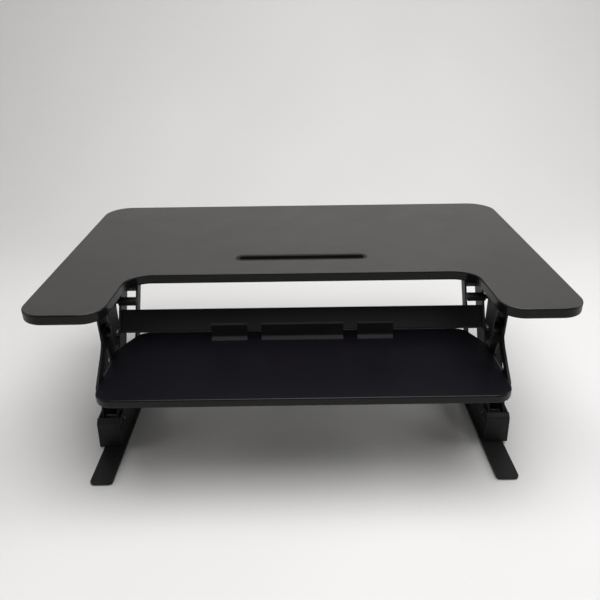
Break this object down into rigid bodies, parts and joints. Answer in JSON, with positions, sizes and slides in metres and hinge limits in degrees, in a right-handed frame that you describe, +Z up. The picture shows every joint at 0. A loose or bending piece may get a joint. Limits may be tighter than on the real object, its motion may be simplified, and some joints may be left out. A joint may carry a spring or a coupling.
{
  "type": "standing desk converter",
  "caption": "Black two-level standing desk converter: recessed worktop with a tablet slot and a hanging keyboard tray on a parallelogram lift with squeeze levers.",
  "frame": {"origin": "middle of the footprint, on the surface the feet rest on", "axes": "+X across the desk to the user's right, +Y away from the user, +Z up"},
  "size_m": [0.914, 0.656, 0.35],
  "materials": {
    "desktop_board": "dark grey laminate with a faint grain",
    "tray_board": "black laminate, satin",
    "black_powder_coat": "fine black powder coat",
    "black_plastic": "matt black moulding",
    "rubber": "matt black rubber",
    "nylon": "dark nylon",
    "fastener_steel": "black oxide steel",
    "dark_steel": "blackened steel"
  },
  "bodies": {
    "base": {"foot_left": "black_powder_coat", "foot_right": "black_powder_coat", "foot_pads_left": "rubber", "foot_pads_right": "rubber", "foot_end_cap_left": "black_plastic", "foot_end_cap_right": "black_plastic", "base_bracket_left": "black_powder_coat", "base_bracket_right": "black_powder_coat", "rear_stretcher": "black_powder_coat", "base_screws": "fastener_steel", "base_pivot_pins": "fastener_steel", "lift_spring_left": "dark_steel", "lift_spring_right": "dark_steel"},
    "front_links": {"front_link_inner_left": "black_powder_coat", "front_link_inner_right": "black_powder_coat", "front_link_outer_left": "black_powder_coat", "front_link_outer_right": "black_powder_coat", "front_link_spools_left": "dark_steel", "front_link_spools_right": "dark_steel", "front_link_washers": "nylon", "lift_crossbar": "black_powder_coat", "lock_quadrant_left": "dark_steel", "lock_quadrant_right": "dark_steel"},
    "rear_link_left": {"rear_link_inner_left": "black_powder_coat", "rear_link_outer_left": "black_powder_coat", "rear_link_spools_left": "dark_steel", "rear_link_washers_left": "nylon"},
    "rear_link_right": {"rear_link_inner_right": "black_powder_coat", "rear_link_outer_right": "black_powder_coat", "rear_link_spools_right": "dark_steel", "rear_link_washers_right": "nylon"},
    "carriage": {"desktop": "desktop_board", "tablet_slot_liner": "black_plastic", "desktop_screws": "fastener_steel", "rear_cross_rail": "black_powder_coat", "upper_pivot_pins": "fastener_steel", "hub_bolts": "fastener_steel", "keyboard_tray": "tray_board", "tray_screws": "fastener_steel", "tray_stop_centre": "black_plastic", "lever_pins": "fastener_steel", "upper_rail_left": "black_powder_coat", "upper_rail_right": "black_powder_coat", "hub_clevis_left": "black_powder_coat", "hub_clevis_right": "black_powder_coat", "hub_spool_left": "dark_steel", "hub_spool_right": "dark_steel", "tray_hanger_left": "black_powder_coat", "tray_hanger_right": "black_powder_coat", "tray_stop_left": "black_plastic", "tray_stop_right": "black_plastic", "lever_mount_left": "black_powder_coat", "lever_mount_right": "black_powder_coat", "under_bumper_left": "rubber", "under_bumper_right": "rubber"},
    "lever_left": {"release_lever_left": "black_powder_coat", "lever_grip_left": "black_plastic"},
    "lever_right": {"release_lever_right": "black_powder_coat", "lever_grip_right": "black_plastic"}
  },
  "joints": [
    {"name": "lift", "type": "hinge", "parent": "base", "child": "front_links", "pos_m": [0, -0.162, 0.048], "axis": [1, 0, 0], "range_deg": [-42, 21]},
    {"name": "carriage_level", "type": "hinge", "parent": "front_links", "child": "carriage", "pos_m": [0, 0.00228, 0.31089], "axis": [1, 0, 0], "range_deg": [-21, 42]},
    {"name": "rear_link_swing_left", "type": "hinge", "parent": "base", "child": "rear_link_left", "pos_m": [0, -0.018, 0.048], "axis": [1, 0, 0], "range_deg": [-42, 21]},
    {"name": "rear_link_swing_right", "type": "hinge", "parent": "base", "child": "rear_link_right", "pos_m": [0, -0.018, 0.048], "axis": [1, 0, 0], "range_deg": [-42, 21]},
    {"name": "squeeze_lever_left", "type": "hinge", "parent": "carriage", "child": "lever_left", "pos_m": [0, -0.048, 0.303], "axis": [-1, 0, 0], "range_deg": [-2.5, 6], "stiffness_Nm_per_rad": 1.5, "springref_deg": -8.59},
    {"name": "squeeze_lever_right", "type": "hinge", "parent": "carriage", "child": "lever_right", "pos_m": [0, -0.048, 0.303], "axis": [-1, 0, 0], "range_deg": [-2.5, 6], "stiffness_Nm_per_rad": 1.5, "springref_deg": -8.59}
  ],
  "couplings": [
    {"joint": "carriage_level", "follows": "lift", "ratio": -1},
    {"joint": "rear_link_swing_left", "follows": "lift", "ratio": 1},
    {"joint": "rear_link_swing_right", "follows": "lift", "ratio": 1}
  ]
}
